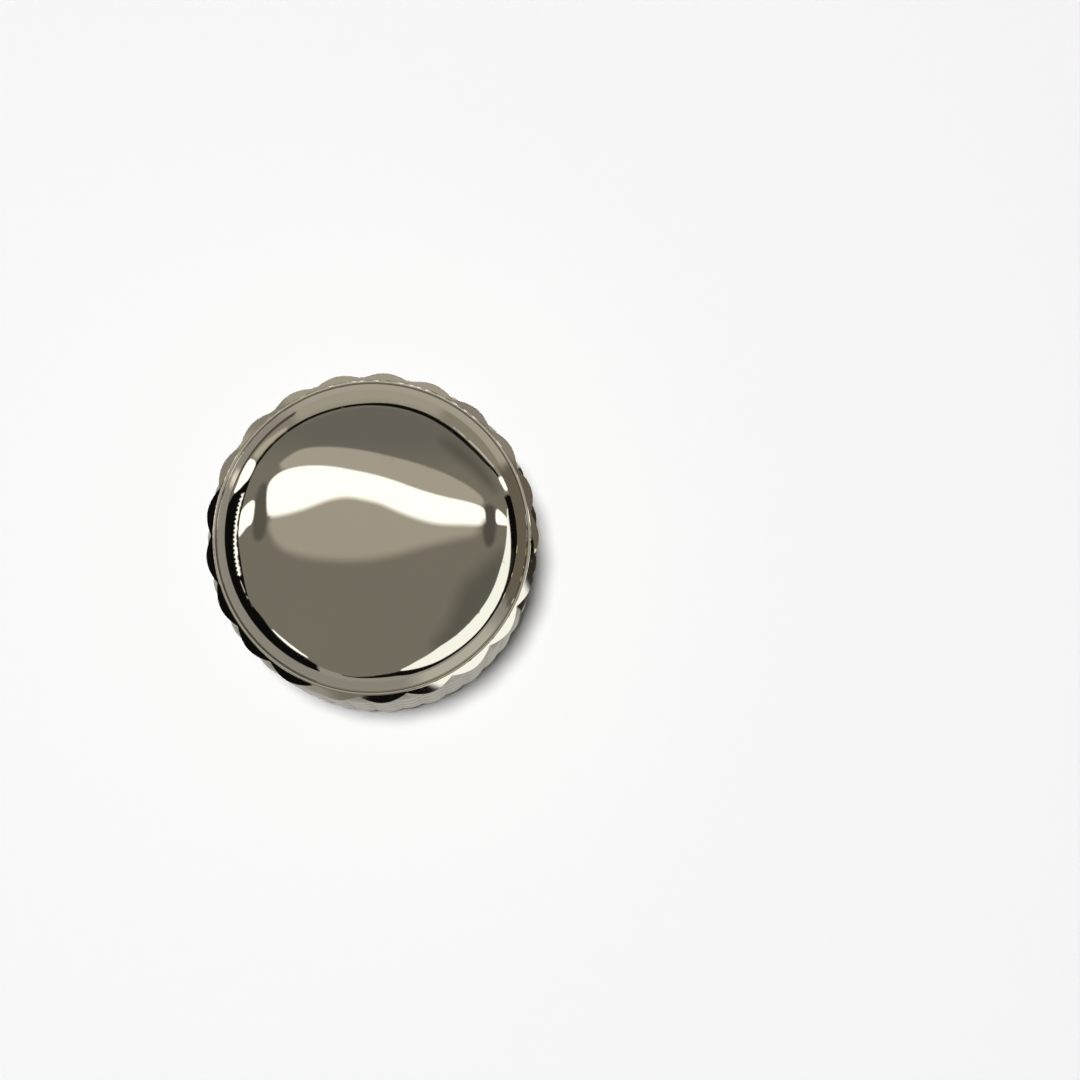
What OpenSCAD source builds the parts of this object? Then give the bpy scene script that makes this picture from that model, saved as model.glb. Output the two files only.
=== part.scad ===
// Knurled control knob with a domed top, turned in one piece from a bar and plated.
// It stands on its open rim with the dome up, and slides onto a round shaft from below.
// The origin is the centre of the rim face, and +Z runs up through the dome.
// All sizes are in millimetres.

/* [Knurled side] */
// Diameter over the crests of the knurl
knob_d = 19; // [17.5:0.25:24]
// Height from the rim face to the flat land under the dome
side_h = 14.8; // [13:0.2:20]
// Diamonds round the side
knurl_count = 21; // [15:1:30]
// Height of one diamond
diamond_h = 3.4; // [2.4:0.05:5]
// Depth of the knurl's grooves
knurl_depth = 0.35; // [0.2:0.05:0.45]
// Distance from where the grooves run out in the upper chamfer down to their first crossings
crossing_drop = 0.05; // [0.02:0.01:0.4]
// Width of the chamfer on the knurl's upper end, seen from above
top_chamfer = 0.5; // [0.46:0.02:0.8]
// Width of the chamfer on the knurl's lower end, seen from below
rim_chamfer = 0.65; // [0.46:0.02:0.8]
// Slope of both chamfers against the rim face, in degrees
chamfer_slope = 31; // [25:1:50]

/* [Domed top] */
// Width of the flat land between the chamfer and the shoulder
land_w = 0.14; // [0.05:0.01:0.4]
// Width of the steep shoulder round the dome, seen from above
shoulder_w = 0.58; // [0.3:0.02:1]
// Height of the shoulder
shoulder_h = 0.8; // [0.4:0.05:1.2]
// Radius of the shoulder's bulge
shoulder_round = 3.3; // [2:0.1:8]
// Rise of the dome above the shoulder
dome_rise = 2.4; // [1:0.1:4]

/* [Hollow underside] */
// Wall from the knurl's crests to the well inside the rim
rim_wall = 1.45; // [1.3:0.05:2]
// Depth of the straight-walled well
well_depth = 2.3; // [1.6:0.1:3.5]
// Step between the well's mouth and its deeper part
well_step = 0.15; // [0.05:0.05:0.2]
// Depth of that step
well_step_depth = 0.9; // [0.4:0.1:1.3]
// Depth at which the conical dish reaches the bore
dish_depth = 4.9; // [4.2:0.1:6]
// Radius on the outer edge of the rim
rim_round = 0.19; // [0.1:0.01:0.22]
// Radius on the inner edge of the rim
rim_inner_round = 0.12; // [0.05:0.01:0.15]

/* [Shaft bore] */
// Diameter of the shaft
shaft_d = 6.35; // [5:0.05:8]
// Clearance between the shaft and the bore
shaft_gap = 0.025; // [0.01:0.005:0.05]
// Length of the bore's wall
bore_len = 6.3; // [5:0.1:7]
// Width of the broken edge at the bore's mouth
bore_edge = 0.08; // [0.04:0.02:0.2]
// Width of the ledge at the end of the bore, round the narrower pilot hole
pilot_ledge = 0.35; // [0.1:0.05:1]
// Straight length of the pilot hole past the end of the bore
pilot_len = 0.3; // [0.1:0.1:1]
// Angle of the pilot drill's point, in degrees
drill_point = 118; // [90:1:140]

/* [Set screw] */
// Thread diameter of the set screw
screw_d = 3; // [2.5:0.5:4]
// Length of the set screw
screw_len = 5; // [3.5:0.5:5]
// Clearance round the screw, in place of the thread
screw_gap = 0.05; // [0.03:0.01:0.1]
// How far the screw's tip stands back from the bore
screw_back = 0.3; // [0.1:0.05:0.5]
// Chamfer on both ends of the screw
screw_chamfer = 0.3; // [0.1:0.05:0.5]
// Width across the flats of the hexagon socket
socket_af = 1.5; // [1.3:0.1:2]
// Depth of the hexagon socket
socket_depth = 1.8; // [1:0.1:2.2]
// Diameter of the cup in the screw's tip
cup_d = 1.4; // [1:0.1:1.8]

/* [Hidden] */
$fn = 144;

// How far a cutting shape runs past the face that it opens
cut_past = 1;
// Steps across one diamond, both round the side and up it
knurl_steps = 4;
// Sides of a hexagon
hex_sides = 6;

crest_r = knob_d / 2;
bore_r = shaft_d / 2 + shaft_gap;
pilot_r = bore_r - pilot_ledge;
screw_r = screw_d / 2;

// Upper end of the knurl, the land and the domed top
land_r = crest_r - top_chamfer;
foot_r = land_r - land_w;
dome_r = foot_r - shoulder_w;
shoulder_top_z = side_h + shoulder_h;
dome_ball_r = (pow(dome_r, 2) + pow(dome_rise, 2)) / (2 * dome_rise);
dome_ball_z = shoulder_top_z + dome_rise - dome_ball_r;

// Centre of the shoulder's bulge, on the inner side of the line from its foot to its top
shoulder_line = norm([shoulder_w, shoulder_h]);
bulge_reach = sqrt(pow(shoulder_round, 2) - pow(shoulder_line / 2, 2)) / shoulder_line;
bulge_x = foot_r - shoulder_w / 2 - bulge_reach * shoulder_h;
bulge_z = side_h + shoulder_h / 2 - bulge_reach * shoulder_w;

// Rim and the hollow inside it
rim_r = crest_r - rim_chamfer;
well_r = crest_r - rim_wall;
mouth_r = bore_r + bore_edge;
bore_start_z = dish_depth + bore_edge;
bore_end_z = dish_depth + bore_len;
pilot_end_z = bore_end_z + pilot_len;
drill_tip_h = pilot_r / tan(drill_point / 2);

// The set screw lies on +Y, in the middle of the bore's length
screw_z = (dish_depth + bore_end_z) / 2;
screw_tip_y = bore_r + screw_back;
screw_hole_r = screw_r + screw_gap;

// Diamonds of the knurl, built in rows of points up and down from one row of crossings
groove_top_z = side_h - (top_chamfer - knurl_depth) * tan(chamfer_slope);
crossing_z = groove_top_z - crossing_drop;
points_round = knurl_count * knurl_steps;
row_h = diamond_h / knurl_steps;
rows_below = ceil(crossing_z / row_h) + 1;
rows_above = ceil((side_h - crossing_z) / row_h) + 1;
row_total = rows_below + rows_above;

// Place across a family of grooves, from 0 in a groove to 1 halfway to the next
function from_groove(pitches) = 1 - abs(2 * (pitches - floor(pitches)) - 1);

// Height of a diamond's flank, from 0 in a groove to 1 on the rounded crest
function flank(pitches) = sin(90 * from_groove(pitches));

// Place of a point across the two families of grooves, which lean opposite ways
function left_pitches(step, row) = (step + row) / knurl_steps + 0.5;
function right_pitches(step, row) = (step - row) / knurl_steps + 0.5;

// Radius of the knurled side at a point
function knurl_r(step, row) =
    crest_r - knurl_depth * (1 - min(flank(left_pitches(step, row)), flank(right_pitches(step, row))));

// One point of the knurled side, with rows counted from the first row of crossings
function knurl_point(step, row) =
    let (turn = 360 * step / points_round, radius = knurl_r(step, row))
    [radius * cos(turn), radius * sin(turn), crossing_z + row * row_h];

function point_index(step, level) = level * points_round + step % points_round;

// Two triangles for each square between four points, split along the nearer family of grooves
function square_faces(step, level) =
    let (
        row = level - rows_below,
        near_left = point_index(step, level),
        near_right = point_index(step + 1, level),
        far_right = point_index(step + 1, level + 1),
        far_left = point_index(step, level + 1),
        across_left = from_groove(left_pitches(step + 0.5, row + 0.5)),
        across_right = from_groove(right_pitches(step + 0.5, row + 0.5))
    )
    across_left < across_right
        ? [[near_left, far_left, near_right], [near_right, far_left, far_right]]
        : [[near_left, far_right, near_right], [near_left, far_left, far_right]];

// Bar with diamonds all over its side, longer than the knob at both ends
module knurled_bar() {
    last_step = points_round - 1;
    polyhedron(
        points = [
            for (level = [0 : row_total])
                for (step = [0 : last_step])
                    knurl_point(step, level - rows_below)
        ],
        faces = concat(
            [[for (step = [0 : last_step]) point_index(step, 0)]],
            [[for (step = [0 : last_step]) point_index(last_step - step, row_total)]],
            [
                for (level = [0 : row_total - 1])
                    for (step = [0 : last_step])
                        for (face = square_faces(step, level))
                            face
            ]
        )
    );
}

// Section of the side without its knurl: the rounded rim, both chamfers and the land
module side_section() {
    past_r = crest_r + cut_past;
    past_h = (rim_chamfer + cut_past) * tan(chamfer_slope);
    past_top_h = (top_chamfer + cut_past) * tan(chamfer_slope);
    polygon([
        [0, rim_round],
        [rim_r, rim_round],
        [past_r, rim_round + past_h],
        [past_r, side_h - past_top_h],
        [land_r, side_h],
        [0, side_h]
    ]);
    square([rim_r - rim_round, rim_round]);
    translate([rim_r - rim_round, rim_round]) circle(r = rim_round);
}

// Section of the domed top, which reaches down into the side that carries it
module top_section() {
    translate([0, side_h - cut_past]) square([foot_r, cut_past]);
    intersection() {
        union() {
            translate([bulge_x, bulge_z]) circle(r = shoulder_round);
            translate([0, side_h - cut_past]) square([bulge_x, cut_past + shoulder_h]);
        }
        translate([0, side_h - cut_past / 2]) square([foot_r, cut_past / 2 + shoulder_h]);
    }
    intersection() {
        translate([0, dome_ball_z]) circle(r = dome_ball_r);
        translate([0, side_h]) square([dome_r, shoulder_h + dome_rise + cut_past]);
    }
}

// Section of the hollow under the knob: stepped well, conical dish, bore and drill point
module hollow_section() {
    step_r = well_r + well_step;
    polygon([
        [0, -cut_past],
        [step_r, -cut_past],
        [step_r, well_step_depth],
        [well_r, well_step_depth + well_step],
        [well_r, well_depth],
        [mouth_r, dish_depth],
        [bore_r, bore_start_z],
        [bore_r, bore_end_z],
        [pilot_r, bore_end_z],
        [pilot_r, pilot_end_z],
        [0, pilot_end_z + drill_tip_h]
    ]);
    difference() {
        translate([step_r, -cut_past]) square([rim_inner_round, cut_past + rim_inner_round]);
        translate([step_r + rim_inner_round, rim_inner_round]) circle(r = rim_inner_round);
    }
}

module toward_screw() {
    translate([0, 0, screw_z]) rotate([-90, 0, 0]) children();
}

module knob_body() {
    color([0.72, 0.69, 0.63]) difference() {
        union() {
            intersection() {
                knurled_bar();
                rotate_extrude() side_section();
            }
            rotate_extrude() top_section();
        }
        rotate_extrude() hollow_section();
        toward_screw() cylinder(r = screw_hole_r, h = crest_r + cut_past);
    }
}

// Hexagon socket set screw with a cup point, its socket facing out of the side
module set_screw() {
    end_r = screw_r - screw_chamfer;
    color([0.45, 0.45, 0.47]) toward_screw() translate([0, 0, screw_tip_y]) difference() {
        union() {
            cylinder(r1 = end_r, r2 = screw_r, h = screw_chamfer);
            translate([0, 0, screw_chamfer])
                cylinder(r = screw_r, h = screw_len - 2 * screw_chamfer);
            translate([0, 0, screw_len - screw_chamfer])
                cylinder(r1 = screw_r, r2 = end_r, h = screw_chamfer);
        }
        translate([0, 0, screw_len - socket_depth])
            cylinder(d = socket_af / cos(180 / hex_sides), h = socket_depth + cut_past, $fn = hex_sides);
        translate([0, 0, -cut_past])
            cylinder(r1 = cup_d / 2 + cut_past, r2 = 0, h = cut_past + cup_d / 2);
    }
}

knob_body();
set_screw();
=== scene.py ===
"""Knurled control knob: a nickel-plated turned body and its set screw, on a pale bench.

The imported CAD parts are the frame. Each sub-assembly below builds its own piece
in millimetres, scales it to metres in place and hands it to the frame.
"""

from __future__ import annotations

import logging
import math
from contextlib import contextmanager
from dataclasses import dataclass, field
from enum import Enum
from typing import Callable, Iterator, Sequence

import bmesh
import bpy
import numpy as np
from mathutils import Matrix, Vector
from mathutils.geometry import delaunay_2d_cdt


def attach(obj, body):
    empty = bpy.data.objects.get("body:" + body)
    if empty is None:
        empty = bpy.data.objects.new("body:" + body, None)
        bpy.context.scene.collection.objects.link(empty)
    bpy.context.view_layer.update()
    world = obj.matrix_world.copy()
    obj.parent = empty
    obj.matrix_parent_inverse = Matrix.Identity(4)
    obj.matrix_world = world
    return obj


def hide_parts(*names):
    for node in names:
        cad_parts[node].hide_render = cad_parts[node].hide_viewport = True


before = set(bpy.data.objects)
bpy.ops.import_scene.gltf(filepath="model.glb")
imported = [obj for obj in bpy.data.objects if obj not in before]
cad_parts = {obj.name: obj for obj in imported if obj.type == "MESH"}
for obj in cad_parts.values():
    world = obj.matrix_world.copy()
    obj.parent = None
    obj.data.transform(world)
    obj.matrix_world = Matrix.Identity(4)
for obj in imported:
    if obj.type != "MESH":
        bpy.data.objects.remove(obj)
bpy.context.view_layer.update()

LOG = logging.getLogger("knob")
MM = 0.001
FULL_TURN = 2.0 * math.pi

Colour = tuple[float, float, float]
Point2 = tuple[float, float]
Ring = Callable[[float], Vector]
Socket = bpy.types.NodeSocket


class Zone(Enum):
    """The three finishes of the knob's body, by their place among its materials."""

    POLISHED = 0
    TURNED = 1
    BORED = 2


class Slot(Enum):
    """The record's material slots."""

    NICKEL = "nickel_plate"
    STEEL = "screw_steel"


class NodeBench:
    """Short calls for adding and linking the nodes of one tree."""

    def __init__(self, tree: bpy.types.NodeTree) -> None:
        """Keeps the tree that the nodes go into."""
        self.tree = tree

    def add(
        self, kind: str, feeds: dict[object, object] | None = None, **settings: object
    ) -> bpy.types.Node:
        """Adds a node.

        Args:
            kind: The node's Blender type name.
            feeds: What goes into its inputs, by their names or places.
            **settings: Properties to set on the node.

        Returns:
            The new node.
        """
        node = self.tree.nodes.new(kind)
        for name, value in settings.items():
            setattr(node, name, value)
        for place, source in (feeds or {}).items():
            self.feed(node.inputs[place], source)
        return node

    def feed(self, target: Socket, source: object) -> None:
        """Links an output to an input, or sets the input's own value, a colour without alpha."""
        if isinstance(source, Socket):
            self.tree.links.new(source, target)
        elif target.type == "RGBA":
            target.default_value = (*source, 1.0)
        else:
            target.default_value = source

    def math(self, operation: str, first: object, *others: object) -> Socket:
        """Adds a Math node, or a chain of them for more than two operands.

        Args:
            operation: The nodes' operation.
            first: The first operand, a socket or a number.
            *others: The operands after it.

        Returns:
            The result's socket.
        """
        result = first
        for feeds in [{1: other} for other in others] or [{}]:
            node = self.add("ShaderNodeMath", {0: result, **feeds}, operation=operation)
            result = node.outputs[0]
        return result

    def remap(
        self, value: object, low: float, high: float, to_low: float = 0.0, to_high: float = 1.0
    ) -> Socket:
        """Maps a value from one range to another, smoothly and without overshoot.

        Args:
            value: The value, a socket or a number.
            low: Where the first range starts.
            high: Where the first range ends.
            to_low: The result at the first range's start.
            to_high: The result at the first range's end.

        Returns:
            The result's socket.
        """
        feeds = dict(enumerate((value, low, high, to_low, to_high)))
        return self.add("ShaderNodeMapRange", feeds, interpolation_type="SMOOTHSTEP").outputs[0]

    def mix(self, factor: object, first: object, second: object) -> Socket:
        """Mixes two colours.

        Args:
            factor: The share of the second colour.
            first: The first colour, or the socket that gives it.
            second: The second colour, or its socket.

        Returns:
            The mixed colour's socket.
        """
        node = self.add("ShaderNodeMix", {"Factor": factor}, data_type="RGBA")
        colour_inputs = [socket for socket in node.inputs if socket.type == "RGBA"]
        for socket, source in zip(colour_inputs, (first, second)):
            self.feed(socket, source)
        return next(socket for socket in node.outputs if socket.type == "RGBA")

    def noise(self, point: Socket, scale: float, detail: float = 2.0) -> Socket:
        """Returns a cloudy noise, between 0 and 1."""
        feeds = {"Vector": point, "Scale": scale, "Detail": detail}
        return self.add("ShaderNodeTexNoise", feeds).outputs[0]

    def bump(self, height: Socket, strength: float, distance: float) -> Socket:
        """Returns the normal over a fine relief that is at most a distance high."""
        feeds = {"Strength": strength, "Distance": distance, "Height": height}
        return self.add("ShaderNodeBump", feeds).outputs[0]

    def object_point(self) -> Socket:
        """Returns the shaded point, in the object's own coordinates."""
        return self.add("ShaderNodeTexCoord").outputs["Object"]

    def mesh_point(self) -> Socket:
        """Returns the point of a mesh that a Geometry Nodes tree is at."""
        return self.add("GeometryNodeInputPosition").outputs[0]

    def seen_outright(self) -> Socket:
        """Returns a socket that is 1 for the eye, a mirror or glass, and 0 for the room's light."""
        path = self.add("ShaderNodeLightPath").outputs
        return self.math(
            "MAXIMUM", path["Is Camera Ray"], path["Is Glossy Ray"], path["Is Transmission Ray"]
        )


class TurnedPlace:
    """Where a point lies about the Z axis: its radius, its turn in radians and its height."""

    def __init__(self, bench: NodeBench, point: Socket) -> None:
        """Adds the nodes that split a point.

        Args:
            bench: The nodes of the material or tree.
            point: The point's coordinates.
        """
        parts = bench.add("ShaderNodeSeparateXYZ", {0: point}).outputs
        squares = [bench.math("MULTIPLY", parts[axis], parts[axis]) for axis in "XY"]
        self.radius = bench.math("SQRT", bench.math("ADD", *squares))
        self.turn = bench.math("ARCTAN2", parts["Y"], parts["X"])
        self.height = parts["Z"]


def start_material(
    name: str, metallic: float = 0.0
) -> tuple[bpy.types.Material, NodeBench, bpy.types.Node]:
    """Starts a node material.

    Args:
        name: The material's name.
        metallic: How metallic its main shader is.

    Returns:
        The material, the bench for its nodes and its main shader.
    """
    material = bpy.data.materials.new(name)
    material.use_nodes = True
    shader = material.node_tree.nodes["Principled BSDF"]
    shader.inputs["Metallic"].default_value = metallic
    return material, NodeBench(material.node_tree), shader


def start_glow(name: str) -> tuple[bpy.types.Material, NodeBench, Socket]:
    """Starts a material without a main shader.

    Args:
        name: The material's name.

    Returns:
        The material, the bench for its nodes and the input for its surface.
    """
    material = bpy.data.materials.new(name)
    material.use_nodes = True
    material.node_tree.nodes.clear()
    bench = NodeBench(material.node_tree)
    return material, bench, bench.add("ShaderNodeOutputMaterial").inputs["Surface"]


@dataclass(frozen=True)
class PolishedNickel:
    """Bright nickel plate, buffed to a mirror, a little duller down in the grooves, with painted
    shade in the corner at the shoulder's foot.
    """

    name: str = "polished_nickel"
    colour: Colour = (0.62, 0.575, 0.5)
    cloud_scale: float = 260.0
    tarnish: float = 0.12
    groove_colour: Colour = (0.5, 0.46, 0.39)
    groove_share: float = 0.8
    groove_roughness: float = 0.05
    groove_radius: float = 9.2
    crest_radius: float = 9.5
    outside_radius: float = 8.95
    side_top: float = 14.45
    side_fade: float = 0.15
    buff_scale: float = 2400.0
    roughness: float = 0.016
    haze: float = 0.014
    ripple_size: float = 2.6
    ripple_height: float = 0.0012
    # Painted shade: a thin dark ring in the corner at the shoulder's foot, and where that ring
    # lies.
    painted_shade_colour: Colour = (0.26, 0.24, 0.2)
    corner_inner: float = 8.86
    corner_outer: float = 8.905
    corner_blur: float = 0.012
    corner_above: float = 0.3

    def material(self) -> bpy.types.Material:
        """Builds the material.

        Returns:
            The finished material.
        """
        material, bench, shader = start_material(self.name, metallic=1.0)
        point = bench.object_point()
        place = TurnedPlace(bench, point)
        groove = self.in_groove(bench, place)

        cloud = bench.noise(point, self.cloud_scale, 3.0)
        tarnish = bench.remap(cloud, 0.35, 0.75, 0.0, self.tarnish)
        shade = bench.math("MAXIMUM", bench.math("MULTIPLY", groove, self.groove_share), tarnish)
        plate = bench.mix(shade, self.colour, self.groove_colour)
        # Painted shade: darkens the plate in a thin ring in the corner at the shoulder's foot.
        colour = bench.mix(self.in_painted_corner_shade(bench, place), plate, self.painted_shade_colour)
        bench.feed(shader.inputs["Base Color"], colour)

        fine = bench.noise(point, self.buff_scale, 4.0)
        buffed = bench.remap(fine, 0.3, 0.8, self.roughness, self.roughness + self.haze)
        dulled = bench.math("MULTIPLY", groove, self.groove_roughness)
        bench.feed(shader.inputs["Roughness"], bench.math("ADD", buffed, dulled))

        ripple = bench.noise(point, 1.0 / (self.ripple_size * MM), 1.0)
        relief = bench.bump(ripple, 1.0, self.ripple_height * MM)
        bench.feed(shader.inputs["Normal"], relief)
        return material

    def in_groove(self, bench: NodeBench, place: TurnedPlace) -> Socket:
        """Tells how deep a point lies in the knurl's grooves.

        Args:
            bench: The material's nodes.
            place: Where the point lies.

        Returns:
            The socket of a share from 0 to 1.
        """
        deep = bench.remap(place.radius, self.groove_radius * MM, self.crest_radius * MM, 1.0, 0.0)
        full_from = self.side_top - self.side_fade
        on_side = bench.remap(place.height, self.side_top * MM, full_from * MM)
        outside = bench.math("GREATER_THAN", place.radius, self.outside_radius * MM)
        return bench.math("MULTIPLY", deep, on_side, outside)

    def in_painted_corner_shade(self, bench: NodeBench, place: TurnedPlace) -> Socket:
        """Tells how deep a point lies in the thin ring of painted shade in the corner at the
        shoulder's foot.

        Args:
            bench: The material's nodes.
            place: Where the point lies.

        Returns:
            The socket of a share from 0 to 1.
        """
        inner, outer, blur = (
            size * MM for size in (self.corner_inner, self.corner_outer, self.corner_blur)
        )
        past_inner = bench.remap(place.radius, inner - blur, inner)
        short_of_outer = bench.remap(place.radius, outer, outer + blur, 1.0, 0.0)
        lowest = (self.side_top + self.corner_above) * MM
        above = bench.math("GREATER_THAN", place.height, lowest)
        return bench.math("MULTIPLY", past_inner, short_of_outer, above)


@dataclass(frozen=True)
class ToolMarkedNickel:
    """Plate over a face that still shows the tool's fine rings."""

    name: str = "turned_nickel"
    colour: Colour = (0.6, 0.56, 0.49)
    ring_colour: Colour = (0.5, 0.46, 0.39)
    roughness: float = 0.13
    ring_roughness: float = 0.2
    ring_pitch: float = 0.09
    ring_height: float = 0.0025
    ring_bump: float = 0.7
    along_axis: bool = False
    anisotropy: float = 0.55

    def material(self) -> bpy.types.Material:
        """Builds the material.

        Returns:
            The finished material.
        """
        material, bench, shader = start_material(self.name, metallic=1.0)
        place = TurnedPlace(bench, bench.object_point())
        shader.inputs["Anisotropic"].default_value = self.anisotropy
        tangent = bench.add("ShaderNodeTangent", direction_type="RADIAL", axis="Z")
        bench.feed(shader.inputs["Tangent"], tangent.outputs[0])

        feed_line = place.height if self.along_axis else place.radius
        pitches = bench.math("MULTIPLY", feed_line, 1.0 / (self.ring_pitch * MM))
        feeds = {"W": pitches, "Scale": 1.0, "Detail": 3.0}
        rings = bench.add("ShaderNodeTexNoise", feeds, noise_dimensions="1D").outputs[0]
        ring = bench.remap(rings, 0.35, 0.7)
        colour = bench.mix(ring, self.colour, self.ring_colour)
        bench.feed(shader.inputs["Base Color"], colour)
        rough = bench.remap(ring, 0.0, 1.0, self.roughness, self.ring_roughness)
        bench.feed(shader.inputs["Roughness"], rough)
        relief = bench.bump(rings, self.ring_bump, self.ring_height * MM)
        bench.feed(shader.inputs["Normal"], relief)
        return material


@dataclass(frozen=True)
class ScrewSteel:
    """Dark steel with the faint grain of rolled threads."""

    name: str = "screw_steel_finish"
    colour: Colour = (0.33, 0.33, 0.34)
    worn_colour: Colour = (0.5, 0.5, 0.5)
    roughness: float = 0.38
    worn_roughness: float = 0.24
    grain_scale: float = 3200.0
    grain_height: float = 0.004
    grain_bump: float = 0.4

    def material(self) -> bpy.types.Material:
        """Builds the material.

        Returns:
            The finished material.
        """
        material, bench, shader = start_material(self.name, metallic=1.0)
        grain = bench.noise(bench.object_point(), self.grain_scale, 4.0)
        worn = bench.remap(grain, 0.4, 0.7)
        colour = bench.mix(worn, self.colour, self.worn_colour)
        bench.feed(shader.inputs["Base Color"], colour)
        rough = bench.remap(worn, 0.0, 1.0, self.roughness, self.worn_roughness)
        bench.feed(shader.inputs["Roughness"], rough)
        relief = bench.bump(grain, self.grain_bump, self.grain_height * MM)
        bench.feed(shader.inputs["Normal"], relief)
        return material


def polar(radius: float, turn: float) -> Point2:
    """Returns the point at a radius and a turn in degrees."""
    angle = math.radians(turn)
    return radius * math.cos(angle), radius * math.sin(angle)


def arc(centre: Point2, radius: float, start: float, end: float, steps: int) -> list[Point2]:
    """Lists points along a circular arc.

    Args:
        centre: The arc's centre.
        radius: The arc's radius.
        start: The angle of its first point, in degrees.
        end: The angle of its last point, in degrees.
        steps: The number of spaces between its points.

    Returns:
        The points from start to end, both included.
    """
    points = [polar(radius, start + (end - start) * step / steps) for step in range(steps + 1)]
    return [(centre[0] + x, centre[1] + y) for x, y in points]


def round_corner(
    before: Point2, corner: Point2, after: Point2, radius: float, steps: int
) -> list[Point2]:
    """Rounds a corner of a section with a small arc.

    Args:
        before: A point on the line that comes to the corner.
        corner: The corner.
        after: A point on the line that leaves it.
        radius: The arc's radius.
        steps: The number of spaces between the arc's points.

    Returns:
        The arc's points, from the first line to the second.
    """
    point = Vector(corner)
    back = (Vector(before) - point).normalized()
    ahead = (Vector(after) - point).normalized()
    half = back.angle(ahead) / 2
    centre = point + (back + ahead).normalized() * (radius / math.sin(half))
    ends = [point + way * (radius / math.tan(half)) - centre for way in (back, ahead)]
    start, end = (math.degrees(math.atan2(way.y, way.x)) for way in ends)
    sweep = (end - start + 180.0) % 360.0 - 180.0
    return arc((centre.x, centre.y), radius, start, start + sweep, steps)


def ring_shell(name: str, rings: Sequence[Ring], around: int) -> bpy.types.Mesh:
    """Skins a closed shell over rings, with a pole at each end.

    Args:
        name: The mesh's name.
        rings: For each ring, its point at a turn in radians. The first and last are poles.
        around: The number of points round each ring.

    Returns:
        The closed mesh, facing outwards when the rings go down the outside.
    """
    mesh = bpy.data.meshes.new(name)
    points = [rings[0](0.0)]
    for ring in rings[1:-1]:
        points += [ring(FULL_TURN * step / around) for step in range(around)]
    points.append(rings[-1](0.0))
    last = len(points) - 1
    levels = len(rings) - 2
    faces: list[tuple[int, ...]] = []
    for step in range(around):
        beside = (step + 1) % around
        faces.append((0, 1 + step, 1 + beside))
        for level in range(levels - 1):
            upper, lower = 1 + level * around, 1 + (level + 1) * around
            faces.append((upper + step, lower + step, lower + beside, upper + beside))
        bottom = 1 + (levels - 1) * around
        faces.append((bottom + step, last, bottom + beside))
    mesh.from_pydata([tuple(point) for point in points], [], faces)
    mesh.validate()
    mesh.update()
    return mesh


def lathe_ring(point: Point2) -> Ring:
    """Returns the circle that a point of a section makes about the Z axis."""
    radius, height = point
    return lambda turn: Vector((radius * math.cos(turn), radius * math.sin(turn), height))


@contextmanager
def editing(mesh: bpy.types.Mesh) -> Iterator[bmesh.types.BMesh]:
    """Opens a mesh for edits, and writes them back at the end.

    Args:
        mesh: The mesh.

    Yields:
        Its editable shape.
    """
    shape = bmesh.new()
    shape.from_mesh(mesh)
    yield shape
    shape.to_mesh(mesh)
    shape.free()


def close_seams(mesh: bpy.types.Mesh, reach: float) -> None:
    """Merges the slivers that a cut leaves along its seams.

    Args:
        mesh: The mesh.
        reach: The largest sliver that is merged, in millimetres.
    """
    with editing(mesh) as shape:
        bmesh.ops.remove_doubles(shape, verts=shape.verts, dist=reach)
        bmesh.ops.dissolve_degenerate(shape, dist=reach, edges=shape.edges)
        bmesh.ops.triangulate(shape, faces=shape.faces)
        still_open = sum(not edge.is_manifold for edge in shape.edges)
    LOG.info("%s: %d edges not closed", mesh.name, still_open)


def crease(mesh: bpy.types.Mesh, limit: Callable[[Vector], float]) -> None:
    """Smooths a mesh, but keeps the edges that fold more than their limit sharp.

    Args:
        mesh: The mesh.
        limit: The largest fold that is still smooth at a point, in degrees.
    """
    with editing(mesh) as shape:
        for face in shape.faces:
            face.smooth = True
        for edge in shape.edges:
            middle = (edge.verts[0].co + edge.verts[1].co) / 2
            edge.smooth = math.degrees(edge.calc_face_angle(0.0)) < limit(middle)


def add_object(name: str, data: bpy.types.ID) -> bpy.types.Object:
    """Puts a new object into the scene."""
    thing = bpy.data.objects.new(name, data)
    bpy.context.scene.collection.objects.link(thing)
    return thing


def run_tree(
    name: str, mesh: bpy.types.Mesh, tree: bpy.types.NodeTree, sizes: dict[str, object]
) -> bpy.types.Mesh:
    """Runs a Geometry Nodes tree on a mesh and keeps the result as a plain mesh.

    Args:
        name: The name of the result.
        mesh: The mesh that goes in.
        tree: The tree.
        sizes: The values of the tree's named inputs.

    Returns:
        The resulting mesh.
    """
    holder = add_object(name, mesh)
    modifier = holder.modifiers.new(name, "NODES")
    modifier.node_group = tree
    for item in tree.interface.items_tree:
        if item.item_type == "SOCKET" and item.in_out == "INPUT" and item.name in sizes:
            modifier[item.identifier] = sizes[item.name]
    graph = bpy.context.evaluated_depsgraph_get()
    result = bpy.data.meshes.new_from_object(holder.evaluated_get(graph), depsgraph=graph)
    holder.modifiers.remove(modifier)
    bpy.data.objects.remove(holder)
    result.name = name
    return result


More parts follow.
